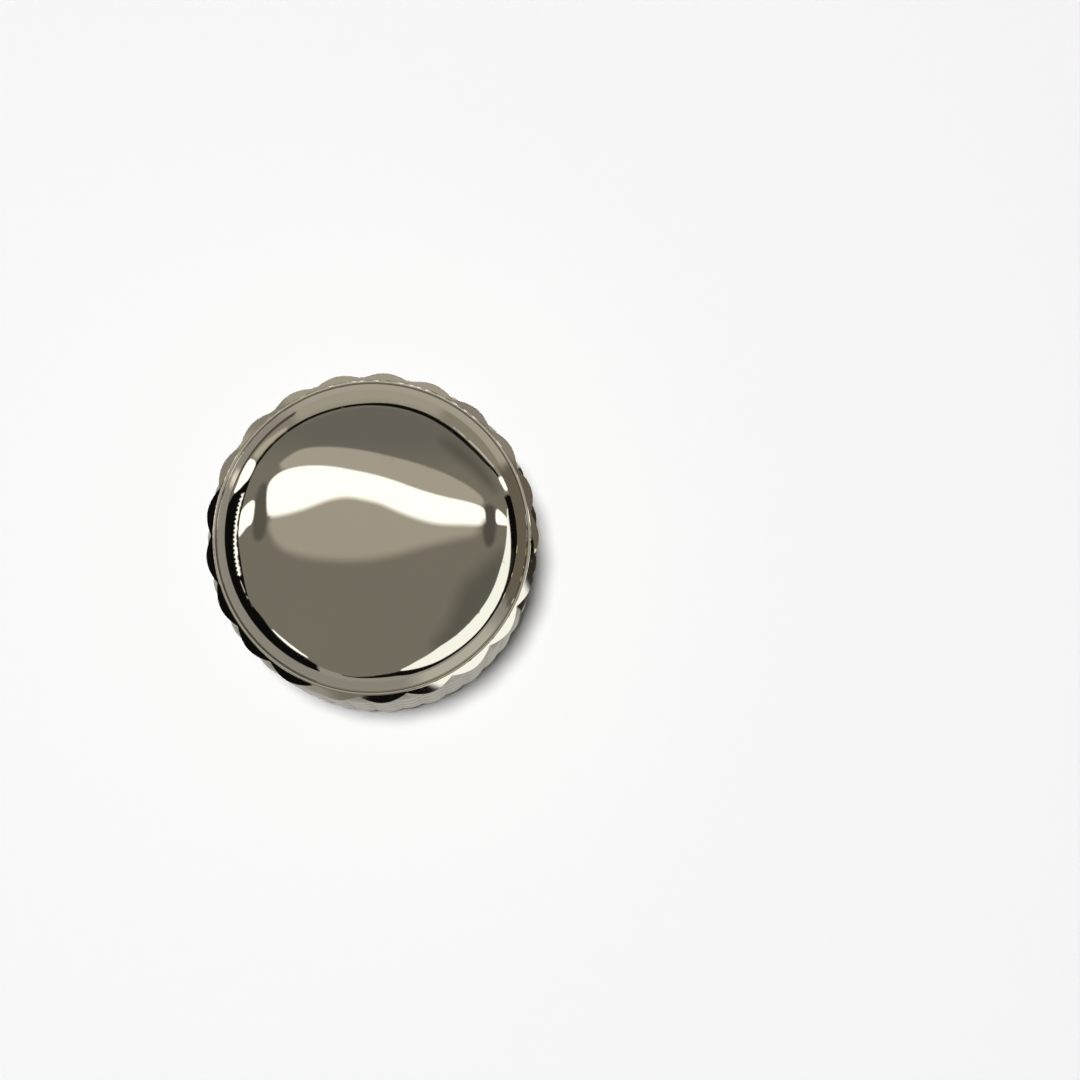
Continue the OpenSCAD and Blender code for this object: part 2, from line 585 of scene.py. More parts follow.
def start_tree(
    name: str, sizes: dict[str, object]
) -> tuple[bpy.types.NodeTree, NodeBench, bpy.types.bpy_prop_collection]:
    """Starts a Geometry Nodes tree.

    Args:
        name: The tree's name.
        sizes: The values of its inputs after the geometry, which also tell their types.

    Returns:
        The tree, the bench for its nodes and the sockets of its inputs, by their names.
    """
    kinds = {int: "Int", float: "Float", bpy.types.Material: "Material"}
    tree = bpy.data.node_groups.new(name, "GeometryNodeTree")
    face = tree.interface
    face.new_socket("Geometry", in_out="INPUT", socket_type="NodeSocketGeometry")
    for label, value in sizes.items():
        face.new_socket(label, in_out="INPUT", socket_type="NodeSocket" + kinds[type(value)])
    face.new_socket("Geometry", in_out="OUTPUT", socket_type="NodeSocketGeometry")
    bench = NodeBench(tree)
    return tree, bench, bench.add("NodeGroupInput").outputs


def end_tree(bench: NodeBench, geometry: Socket, material: Socket) -> None:
    """Ends a tree in Realize Instances and Set Material.

    Args:
        bench: The tree's nodes.
        geometry: The finished geometry.
        material: The input that names its material.
    """
    real = bench.add("GeometryNodeRealizeInstances", {"Geometry": geometry})
    feeds = {"Geometry": real.outputs["Geometry"], "Material": material}
    dressed = bench.add("GeometryNodeSetMaterial", feeds)
    bench.add("NodeGroupOutput", {"Geometry": dressed.outputs["Geometry"]})


def place_points(
    bench: NodeBench, geometry: Socket, radius: Socket, turn: Socket, height: Socket
) -> Socket:
    """Moves each point to a radius, turn and height.

    Args:
        bench: The tree's nodes.
        geometry: The geometry to move.
        radius: The new radius.
        turn: The new turn, in radians.
        height: The new height.

    Returns:
        The moved geometry.
    """
    feeds = {
        "X": bench.math("MULTIPLY", radius, bench.math("COSINE", turn)),
        "Y": bench.math("MULTIPLY", radius, bench.math("SINE", turn)),
        "Z": height,
    }
    point = bench.add("ShaderNodeCombineXYZ", feeds).outputs[0]
    moved = bench.add("GeometryNodeSetPosition", {"Geometry": geometry, "Position": point})
    return moved.outputs["Geometry"]


@dataclass
class Thread:
    """A metric thread, as a rule for the radius at a turn and a height."""

    crest_radius: float = 1.5
    pitch: float = 0.5
    depth: float = 0.3
    steepness: float = 1.3
    crest_flat: float = 0.15

    def radius_nodes(self, bench: NodeBench, turn: Socket, height: Socket, crest: Socket) -> Socket:
        """Adds the nodes of the thread's rule.

        Args:
            bench: The tree's nodes.
            turn: The turn about the screw's axis, in radians.
            height: The height along that axis.
            crest: The radius over the thread's crests.

        Returns:
            The socket of the thread's radius.
        """
        climb = bench.math("DIVIDE", height, self.pitch)
        turns = bench.math("DIVIDE", turn, FULL_TURN)
        phase = bench.math("FRACT", bench.math("SUBTRACT", climb, turns))
        swing = bench.math("SUBTRACT", bench.math("MULTIPLY", phase, 2.0), 1.0)
        steep = bench.math("MULTIPLY", bench.math("ABSOLUTE", swing), self.steepness)
        feeds = {"Value": bench.math("SUBTRACT", steep, self.crest_flat)}
        flank = bench.add("ShaderNodeClamp", feeds).outputs[0]
        return bench.math("SUBTRACT", crest, bench.math("MULTIPLY", flank, self.depth))


@dataclass
class KnobBody:
    """The turned body: domed top, diamond-knurled side, and the hollow with its bore."""

    crest_r: float = 9.5
    side_h: float = 14.8
    diamonds: int = 21
    diamond_h: float = 3.4
    groove_depth: float = 0.35
    crossing_drop: float = 0.05
    top_chamfer: float = 0.5
    rim_chamfer: float = 0.65
    chamfer_slope: float = 31.0
    land_w: float = 0.14
    shoulder_w: float = 0.58
    shoulder_h: float = 0.8
    shoulder_round: float = 3.3
    dome_rise: float = 2.4
    rim_wall: float = 1.45
    well_depth: float = 2.3
    well_step: float = 0.15
    well_step_depth: float = 0.9
    dish_depth: float = 4.9
    rim_round: float = 0.19
    rim_inner_round: float = 0.12
    bore_r: float = 3.2
    bore_len: float = 6.3
    bore_edge: float = 0.08
    pilot_ledge: float = 0.35
    pilot_len: float = 0.3
    drill_point: float = 118.0
    screw_gap: float = 0.045
    crease_round: float = 0.25
    foot_round: float = 0.11
    land_round: float = 0.02
    around: int = 252
    steps: int = 12
    spare_rows: int = 2
    crest_roundness: float = 4.0
    seam_reach: float = 0.004
    face_margin: float = 0.02
    dish_margin: float = 0.2
    groove_margin: float = 0.05
    tapped_reach: float = 1.6
    knurl_fold: float = 26.0
    plain_fold: float = 9.5
    thread: Thread = field(default_factory=Thread)

    def screw_level(self) -> float:
        """Returns the height of the set screw's axis."""
        return self.dish_depth + self.bore_len / 2

    def crossing_level(self) -> float:
        """Returns the height of the first row of crossing grooves."""
        past_grooves = self.top_chamfer - self.groove_depth
        groove_top = self.side_h - past_grooves * math.tan(math.radians(self.chamfer_slope))
        return groove_top - self.crossing_drop

    def top_section(self) -> list[Point2]:
        """Lists the section of the domed top, from the axis out to the land's edge.

        Returns:
            Radius and height of each point.
        """
        land_r = self.crest_r - self.top_chamfer
        foot_r = land_r - self.land_w
        dome_r = foot_r - self.shoulder_w
        shoulder_top = self.side_h + self.shoulder_h
        ball = (dome_r**2 + self.dome_rise**2) / (2 * self.dome_rise)
        ball_z = shoulder_top + self.dome_rise - ball
        edge = math.acos(dome_r / ball)
        dome = arc((0.0, ball_z), ball, 90.0, math.degrees(edge), 40)
        line = math.hypot(self.shoulder_w, self.shoulder_h)
        reach = math.sqrt(self.shoulder_round**2 - (line / 2) ** 2) / line
        centre = (
            foot_r - self.shoulder_w / 2 - reach * self.shoulder_h,
            self.side_h + self.shoulder_h / 2 - reach * self.shoulder_w,
        )
        high = math.degrees(math.atan2(shoulder_top - centre[1], dome_r - centre[0]))
        low = math.degrees(math.atan2(self.side_h - centre[1], foot_r - centre[0]))
        shoulder = arc(centre, self.shoulder_round, high, low, 10)
        slope = math.tan(math.radians(self.chamfer_slope))
        before_crease = (dome_r - math.sin(edge), shoulder_top + math.cos(edge))
        foot, land = (foot_r, self.side_h), (land_r, self.side_h)
        down_chamfer = (land_r + 1.0, self.side_h - slope)
        past_land = 0.06
        return [
            *dome[:-1],
            *round_corner(before_crease, dome[-1], shoulder[1], self.crease_round, 4),
            *shoulder[1:-1],
            *round_corner(shoulder[-2], foot, land, self.foot_round, 8),
            *round_corner(foot, land, down_chamfer, self.land_round, 4),
            (land_r + past_land, self.side_h - past_land * slope),
        ]

    def side_section(self) -> list[Point2]:
        """Lists the section outside the knurl and round the rim, from the top down.

        Returns:
            Radius and height of each point.
        """
        past = 1.0
        steps = 14
        slope = math.tan(math.radians(self.chamfer_slope))
        rim_r = self.crest_r - self.rim_chamfer
        inner_r = self.crest_r - self.rim_wall + self.well_step
        outer_round, inner_round = self.rim_round, self.rim_inner_round
        return [
            (self.crest_r + past, self.side_h - (self.top_chamfer + past) * slope),
            (self.crest_r + past, outer_round + (self.rim_chamfer + past) * slope),
            *arc((rim_r - outer_round, outer_round), outer_round, 0.0, -90.0, steps),
            *arc((inner_r + inner_round, inner_round), inner_round, -90.0, -180.0, steps),
        ]

    def hollow_section(self) -> list[Point2]:
        """Lists the section of the hollow, from the rim's inner edge up to the drill's point.

        Returns:
            Radius and height of each point.
        """
        well_r = self.crest_r - self.rim_wall
        step_r = well_r + self.well_step
        bore_end = self.dish_depth + self.bore_len
        pilot_r = self.bore_r - self.pilot_ledge
        pilot_end = bore_end + self.pilot_len
        tip = pilot_end + pilot_r / math.tan(math.radians(self.drill_point / 2))
        dish_run, cone_run = 10, 5
        mouth_r = self.bore_r + self.bore_edge
        dish = [
            (
                well_r + (mouth_r - well_r) * step / dish_run,
                self.well_depth + (self.dish_depth - self.well_depth) * step / dish_run,
            )
            for step in range(dish_run + 1)
        ]
        cone = [
            (pilot_r * (1 - step / cone_run), pilot_end + (tip - pilot_end) * step / cone_run)
            for step in range(cone_run + 1)
        ]
        return [
            (step_r, self.well_step_depth),
            (well_r, self.well_step_depth + self.well_step),
            *dish,
            (self.bore_r, self.dish_depth + self.bore_edge),
            (self.bore_r, bore_end),
            (pilot_r, bore_end),
            *cone,
        ]

    def blank(self) -> bpy.types.Mesh:
        """Turns the plain body, still oversize where the knurl goes.

        Returns:
            The closed mesh, in millimetres.
        """
        section = self.top_section() + self.side_section() + self.hollow_section()
        return ring_shell("knob_blank", [lathe_ring(point) for point in section], self.around)

    def bar_nodes(self, bench: NodeBench, size: bpy.types.bpy_prop_collection) -> Socket:
        """Adds the nodes of the bar with diamonds all over its side.

        The bar's lengthwise lines lean with one family of grooves, and the diagonals
        of its squares lie along the other, so both families are true sharp valleys.

        Args:
            bench: The tree's nodes.
            size: The tree's inputs, by their names.

        Returns:
            The bar.
        """
        half_rows = bench.math("MULTIPLY", size["Steps"], 2.0)
        row_h = bench.math("DIVIDE", size["Diamond Height"], half_rows)
        bar_h = bench.math("MULTIPLY", row_h, size["Rows"])
        feeds = {
            "Vertices": bench.math("MULTIPLY", size["Diamonds"], size["Steps"]),
            "Side Segments": size["Rows"],
            "Radius": size["Crest Radius"],
            "Depth": bar_h,
        }
        bar = bench.add("GeometryNodeMeshCylinder", feeds, fill_type="NGON").outputs["Mesh"]

        place = TurnedPlace(bench, bench.mesh_point())
        lift = bench.math("ADD", size["Bar Bottom"], bench.math("DIVIDE", bar_h, 2.0))
        height = bench.math("ADD", place.height, lift)
        over = bench.math("SUBTRACT", height, size["Crossing Level"])
        climb = bench.math("DIVIDE", over, size["Diamond Height"])
        turns = bench.math("DIVIDE", place.turn, FULL_TURN)
        right = bench.math("ADD", bench.math("MULTIPLY", turns, size["Diamonds"]), 0.5)
        left = bench.math("ADD", right, bench.math("MULTIPLY", climb, 2.0))
        rises = [
            bench.math("ABSOLUTE", bench.math("SINE", bench.math("MULTIPLY", family, math.pi)))
            for family in (left, right)
        ]
        powers = [bench.math("POWER", rise, self.crest_roundness) for rise in rises]
        spread = bench.math(
            "POWER",
            bench.math("MAXIMUM", bench.math("ADD", *powers), 1e-9),
            1.0 / self.crest_roundness,
        )
        share = bench.math("DIVIDE", bench.math("MULTIPLY", *rises), spread)
        rise = bench.math("MULTIPLY", share, 2.0 ** (1.0 / self.crest_roundness))
        cut = bench.math("MULTIPLY", bench.math("SUBTRACT", 1.0, rise), size["Groove Depth"])
        radius = bench.math("SUBTRACT", size["Crest Radius"], cut)
        lean = bench.math("DIVIDE", bench.math("MULTIPLY", climb, FULL_TURN), size["Diamonds"])
        turn = bench.math("ADD", place.turn, lean)
        knurled = place_points(bench, bar, radius, turn, height)
        facets = bench.add("GeometryNodeTriangulate", {"Mesh": knurled}, quad_method="FIXED")
        return facets.outputs["Mesh"]

    def tap_nodes(self, bench: NodeBench, size: bpy.types.bpy_prop_collection) -> Socket:
        """Adds the nodes of the tool that drills and taps the screw's hole.

        Args:
            bench: The tree's nodes.
            size: The tree's inputs, by their names.

        Returns:
            The tool, in place.
        """
        feeds = {
            "Vertices": 48,
            "Side Segments": 150,
            "Radius": size["Hole Radius"],
            "Depth": size["Hole Length"],
        }
        tap = bench.add("GeometryNodeMeshCylinder", feeds, fill_type="NGON").outputs["Mesh"]
        place = TurnedPlace(bench, bench.mesh_point())
        half = bench.math("DIVIDE", size["Hole Length"], 2.0)
        height = bench.math("ADD", place.height, half)
        radius = self.thread.radius_nodes(bench, place.turn, height, size["Hole Radius"])
        level = bench.add("ShaderNodeCombineXYZ", {"Z": size["Screw Level"]})
        feeds = {
            "Geometry": place_points(bench, tap, radius, place.turn, height),
            "Translation": level.outputs[0],
            "Rotation": (-math.pi / 2, 0.0, 0.0),
        }
        return bench.add("GeometryNodeTransform", feeds).outputs["Geometry"]

    def knurl_tree(self, sizes: dict[str, object]) -> bpy.types.NodeTree:
        """Builds the tree that knurls the blank and drills and taps the screw's hole.

        Args:
            sizes: The values of the tree's inputs.

        Returns:
            The tree.
        """
        tree, bench, size = start_tree("knurled_side", sizes)
        cut = "GeometryNodeMeshBoolean"
        side = bench.add(cut, operation="INTERSECT", solver="MANIFOLD")
        bench.feed(side.inputs["Mesh 2"], size["Geometry"])
        bench.feed(side.inputs["Mesh 2"], self.bar_nodes(bench, size))
        feeds = {"Mesh 1": side.outputs["Mesh"], "Mesh 2": self.tap_nodes(bench, size)}
        drilled = bench.add(cut, feeds, operation="DIFFERENCE", solver="MANIFOLD")
        end_tree(bench, drilled.outputs["Mesh"], size["Material"])
        return tree

    def groove_floor(self) -> float:
        """Returns the radius just inside the knurl's grooves."""
        return self.crest_r - self.groove_depth - self.groove_margin

    def zone_of(self, middle: Vector) -> Zone:
        """Tells which finish a face takes.

        Args:
            middle: The face's centre, in millimetres.

        Returns:
            The face's zone.
        """
        radius = math.hypot(middle.x, middle.y)
        in_bore = radius < self.bore_r + self.face_margin and middle.z > self.dish_depth
        from_screw = max(abs(middle.x), abs(middle.z - self.screw_level()))
        if middle.z < self.side_h and in_bore:
            return Zone.BORED
        if from_screw < self.tapped_reach and self.bore_r < radius < self.groove_floor():
            return Zone.BORED
        in_well = radius < self.crest_r - self.rim_wall + self.face_margin
        if in_well and middle.z < self.dish_depth + self.dish_margin:
            return Zone.TURNED
        return Zone.POLISHED

    def fold_limit(self, middle: Vector) -> float:
        """Tells how far an edge may fold and still be smooth.

        Args:
            middle: The edge's middle, in millimetres.

        Returns:
            The limit in degrees.
        """
        on_knurl = math.hypot(middle.x, middle.y) > self.groove_floor()
        return self.knurl_fold if on_knurl else self.plain_fold

    def build(self) -> bpy.types.Object:
        """Makes the body and dresses it.

        Returns:
            The finished piece, in metres.
        """
        bored = ToolMarkedNickel(
            name="bored_nickel",
            colour=(0.5, 0.45, 0.37),
            ring_colour=(0.34, 0.29, 0.22),
            roughness=0.2,
            ring_roughness=0.34,
            ring_pitch=0.16,
            ring_height=0.006,
            along_axis=True,
            anisotropy=0.3,
        )
        finishes = [
            finish.material() for finish in (PolishedNickel(), ToolMarkedNickel(), bored)
        ]
        crossing = self.crossing_level()
        row_h = self.diamond_h / (2 * self.steps)
        rows_below = math.ceil(crossing / row_h) + self.spare_rows
        above = self.side_h + self.shoulder_h + self.dome_rise - crossing
        rows_above = math.ceil(above / row_h) + self.spare_rows
        sizes = {
            "Crest Radius": self.crest_r,
            "Diamonds": self.diamonds,
            "Diamond Height": self.diamond_h,
            "Groove Depth": self.groove_depth,
            "Crossing Level": crossing,
            "Steps": self.steps,
            "Rows": rows_below + rows_above,
            "Bar Bottom": crossing - rows_below * row_h,
            "Screw Level": self.screw_level(),
            "Hole Radius": self.thread.crest_radius + self.screw_gap,
            "Hole Length": self.crest_r + 1.0,
            "Material": finishes[Zone.POLISHED.value],
        }
        mesh = run_tree("knurled_body", self.blank(), self.knurl_tree(sizes), sizes)
        close_seams(mesh, self.seam_reach)
        crease(mesh, self.fold_limit)
        mesh.materials.clear()
        for finish in finishes:
            mesh.materials.append(finish)
        for face in mesh.polygons:
            face.material_index = self.zone_of(face.center).value
        return finish_piece("knurled_body", mesh, "knob_body")


@dataclass
class SetScrew:
    """The hexagon socket set screw that grips the shaft."""

    length: float = 5.0
    back: float = 0.3
    chamfer: float = 0.3
    socket_af: float = 1.5
    socket_depth: float = 1.8
    socket_edge: float = 0.08
    socket_round: float = 0.04
    cone_r: float = 0.35
    cone_top: float = 0.1
    cone_depth: float = 0.3
    end_round: float = 0.02
    cup_d: float = 1.4
    around: int = 72
    rows_per_pitch: int = 12
    fold: float = 28.0
    thread: Thread = field(default_factory=Thread)

    def flat_reach(self, turn: float) -> float:
        """Returns how far the hexagon reaches from its centre at a turn."""
        sector = math.pi / 3
        return self.socket_af / 2 / math.cos((turn + sector / 2) % sector - sector / 2)

    def socket_ring(self, height: float, grow: float) -> Ring:
        """Returns the hexagon's outline at a height, grown a little where it is asked."""
        return lambda turn: lathe_ring((self.flat_reach(turn) + grow, height))(turn)

    def blank(self) -> bpy.types.Mesh:
        """Shapes the plain screw, standing on its tip.

        Returns:
            The closed mesh, in millimetres.
        """
        crest, top = self.thread.crest_radius, self.length
        end_r = crest - self.chamfer
        shank_h = top - 2 * self.chamfer
        rows = round(shank_h / self.thread.pitch * self.rows_per_pitch)
        shank = [
            lathe_ring((crest, top - self.chamfer - shank_h * row / rows))
            for row in range(rows + 1)
        ]
        floor_z = top - self.socket_depth
        rings = [
            lathe_ring((0.0, floor_z - self.cone_depth)),
            lathe_ring((self.cone_r, floor_z - self.cone_top)),
            self.socket_ring(floor_z, -self.socket_round),
            self.socket_ring(floor_z + self.socket_round, 0.0),
            self.socket_ring(top - self.socket_edge, 0.0),
            self.socket_ring(top, self.socket_edge),
            lathe_ring((end_r - self.end_round, top)),
            *shank,
            lathe_ring((end_r, 0.0)),
            lathe_ring((self.cup_d / 2, 0.0)),
            lathe_ring((0.0, self.cup_d / 2)),
        ]
        return ring_shell("screw_blank", rings, self.around)

    def thread_tree(self, sizes: dict[str, object]) -> bpy.types.NodeTree:
        """Builds the tree that cuts the thread into the plain screw.

        Args:
            sizes: The values of the tree's inputs.

        Returns:
            The tree.
        """
        tree, bench, size = start_tree("screw_thread", sizes)
        place = TurnedPlace(bench, bench.mesh_point())
        along = bench.math("ADD", place.height, size["Height Offset"])
        cut = self.thread.radius_nodes(bench, place.turn, along, size["Crest Radius"])
        on_shank = bench.math("GREATER_THAN", place.radius, size["Shank From"])
        threaded = bench.math("MINIMUM", place.radius, cut)
        kept = bench.math("MULTIPLY", place.radius, bench.math("SUBTRACT", 1.0, on_shank))
        chosen = bench.math("ADD", bench.math("MULTIPLY", threaded, on_shank), kept)
        moved = place_points(bench, size["Geometry"], chosen, place.turn, place.height)
        end_tree(bench, moved, size["Material"])
        return tree

    def build(self, body: KnobBody) -> bpy.types.Object:
        """Makes the screw and seats it in the body's hole.

        Args:
            body: The body that holds the screw.

        Returns:
            The finished piece, in metres.
        """
        tip = body.bore_r + self.back
        sizes = {
            "Crest Radius": self.thread.crest_radius,
            "Shank From": self.thread.crest_radius - self.chamfer + 0.01,
            "Height Offset": tip,
            "Material": ScrewSteel().material(),
        }
        mesh = run_tree("threaded_screw", self.blank(), self.thread_tree(sizes), sizes)
        lie_down = Matrix.Rotation(-math.pi / 2, 4, "X")
        mesh.transform(Matrix.Translation((0.0, tip, body.screw_level())) @ lie_down)
        crease(mesh, lambda middle: self.fold)
        return finish_piece("threaded_screw", mesh, "set_screw")


def finish_piece(name: str, mesh: bpy.types.Mesh, node: str) -> bpy.types.Object:
    """Scales a piece to metres in place and hands it to the frame.

    Args:
        name: The piece's name.
        mesh: Its mesh, in millimetres.
        node: The CAD node that it stands for.

    Returns:
        The piece.
    """
    mesh.transform(Matrix.Scale(MM, 4))
    mesh.update()
    piece = add_object(name, mesh)
    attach(piece, "root")
    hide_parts(node)
    mesh.calc_loop_triangles()
    LOG.info("%s: %d triangles, stands for %s", name, len(mesh.loop_triangles), node)
    return piece


@dataclass(frozen=True)
class SkyCard:
    """A card of the studio's tent, as the metal sees it.

    Its outline is in degrees from straight above: x to the right, y up the picture.
    The edge is half faded on the outline, and softer along its lower side where asked.
    It hangs in the row of the far cards, unless it has a distance of its own.
    """

    name: str
    outline: tuple[Point2, ...]
    radiance: Colour
    feather: float = 1.0
    lower_feather: float = 0.0
    rounds: int = 2
    grid: float = 5.0
    distance: float = 0.0

    def rounded(self) -> np.ndarray:
        """Cuts the outline's corners, each time a quarter of a side from both ends.

        Returns:
            The outline's points, counter-clockwise.
        """
        loop = np.array(self.outline, dtype=float)
        for _ in range(self.rounds):
            after = np.roll(loop, -1, axis=0)
            cuts = [0.75 * loop + 0.25 * after, 0.25 * loop + 0.75 * after]
            loop = np.stack(cuts, axis=1).reshape(-1, 2)
        after = np.roll(loop, -1, axis=0)
        area = float(np.sum(loop[:, 0] * after[:, 1] - after[:, 0] * loop[:, 1]))
        return loop if area > 0 else loop[::-1]

    @staticmethod
    def outward(loop: np.ndarray) -> np.ndarray:
        """Returns the outward direction at each point of a counter-clockwise loop."""
        along = np.roll(loop, -1, axis=0) - np.roll(loop, 1, axis=0)
        along /= np.maximum(np.linalg.norm(along, axis=1, keepdims=True), 1e-9)
        return np.stack([along[:, 1], -along[:, 0]], axis=1)

    @staticmethod
    def solid(places: np.ndarray, edge: np.ndarray, width: np.ndarray) -> np.ndarray:
        """Tells how solid a card is at places inside its edge.

        Args:
            places: The places.
            edge: The card's faded edge, a closed loop of points.
            width: The feather's width at each of them.

        Returns:
            For each place, from 0 on the edge to 1 past the feather.
        """
        run = np.roll(edge, -1, axis=0) - edge
        away = places[:, None] - edge
        share = np.clip((away * run).sum(-1) / np.maximum((run**2).sum(-1), 1e-12), 0.0, 1.0)
        across = np.linalg.norm(away - share[..., None] * run, axis=-1)
        local = width + (np.roll(width, -1) - width) * share
        return np.clip((across / local).min(axis=1), 0.0, 1.0)

    def plan(self) -> tuple[list[Vector], list[list[int]], list[float]]:
        """Lays the card out in triangles small enough to follow the tent.

        Returns:
            Its places, its triangles, and how solid it is at each place.
        """
        loop = self.rounded()
        out = self.outward(loop)
        soft = max(self.feather, self.lower_feather) - self.feather
        width = self.feather + soft * np.clip(-out[:, 1], 0.0, 1.0)
        edge = loop + out * width[:, None] / 2
        rows = [edge]
        for level in (0.5, 1.0):
            row = edge - self.outward(edge) * width[:, None] * level
            rows.append(row[self.solid(row, edge, width) > level - 0.03])
        low, high = edge.min(axis=0), edge.max(axis=0)
        spots = [np.arange(low[axis] + self.grid / 2, high[axis], self.grid) for axis in (0, 1)]
        rows.append(np.stack(np.meshgrid(*spots), axis=-1).reshape(-1, 2))
        points = [Vector(place) for place in np.concatenate(rows)]
        places, _, faces, *_ = delaunay_2d_cdt(points, [], [list(range(len(edge)))], 1, 1e-4)
        return places, faces, list(self.solid(np.array([tuple(p) for p in places]), edge, width))


def ribbon(*places: tuple[float, float, float]) -> tuple[Point2, ...]:
    """Outlines a ribbon of wall that runs round the tent.

    Args:
        *places: Along the ribbon, the angles from straight above of its inner and outer
            edges and the turn there, all in degrees.

    Returns:
        The outline's points.
    """
    widest_step = 4.0
    inner: list[Point2] = []
    outer: list[Point2] = []
    for here, beyond in zip(places, [*places[1:], places[-1]]):
        steps = max(1, round(abs(beyond[2] - here[2]) / widest_step))
        for step in range(steps):
            low, high, turn = (a + (b - a) * step / steps for a, b in zip(here, beyond))
            inner.append(polar(low, turn))
            outer.append(polar(high, turn))
    return tuple(inner + outer[::-1])


def comb_outline(
    back: tuple[Point2, Point2], tips: tuple[Point2, Point2], bite: float, teeth: int
) -> tuple[Point2, ...]:
    """Outlines a curved comb with its teeth outwards.

    Args:
        back: The angle from straight above and the turn at both ends of the comb's back.
        tips: The same at both ends of the line over its teeth.
        bite: How far the gaps between the teeth reach in from that line, in degrees.
        teeth: The number of teeth.

    Returns:
        The outline's points.
    """
    back_steps, half_gap = 12, 0.3
    outline: list[Point2] = []
    for step in range(back_steps + 1):
        low, turn = (a + (b - a) * step / back_steps for a, b in zip(*back))
        outline.append(polar(low, turn))
    for step in range(2 * teeth, -1, -1):
        high, turn = (a + (b - a) * step / (2 * teeth) for a, b in zip(*tips))
        reach = high if step % 2 else high - bite
        outline += [polar(reach, turn + half_gap), polar(reach, turn - half_gap)]
    return tuple(outline)


@dataclass(frozen=True)
class Sheet:
    """A sheet of toned paper round the knob, flat or sloping, as the metal sees it.

    Its radii, and its heights at its inner and outer edge, are in millimetres. It fades
    in from its inner edge, and at both ends of its turns where its soft turn asks for it.
    """

    name: str
    radiance: Colour
    inner: float
    fade: float
    outer: float = 900.0
    heights: Point2 = (0.3, 0.3)
    turns: Point2 = (0.0, 360.0)
    soft_turn: float = 0.0
    rings: int = 8
    widest_step: float = 6.0
    fewest_steps: int = 4

    def plan(self) -> tuple[list[Vector], list[tuple[int, ...]], list[float]]:
        """Lays the sheet out.

        Returns:
            Its points in millimetres, its faces, and how solid it is at each point.
        """
        reach = self.turns[1] - self.turns[0]
        steps = max(self.fewest_steps, round(reach / self.widest_step))
        solid_from = self.inner + self.fade
        growth = self.outer / solid_from
        radii = [self.inner]
        radii += [solid_from * growth ** (ring / self.rings) for ring in range(self.rings + 1)]
        points, fades = [], []
        for radius in radii:
            climb = (radius - self.inner) / (self.outer - self.inner)
            height = self.heights[0] + (self.heights[1] - self.heights[0]) * climb
            for step in range(steps + 1):
                turn = reach * step / steps
                points.append(lathe_ring((radius, height))(math.radians(self.turns[0] + turn)))
                to_end = min(turn, reach - turn)
                share = min(1.0, to_end / self.soft_turn) if self.soft_turn else 1.0
                fades.append(share if radius > self.inner else 0.0)
        faces = []
        for ring in range(len(radii) - 1):
            for step in range(steps):
                near = ring * (steps + 1) + step
                far = near + steps + 1
                faces.append((near, far, far + 1, near + 1))
        return points, faces, fades


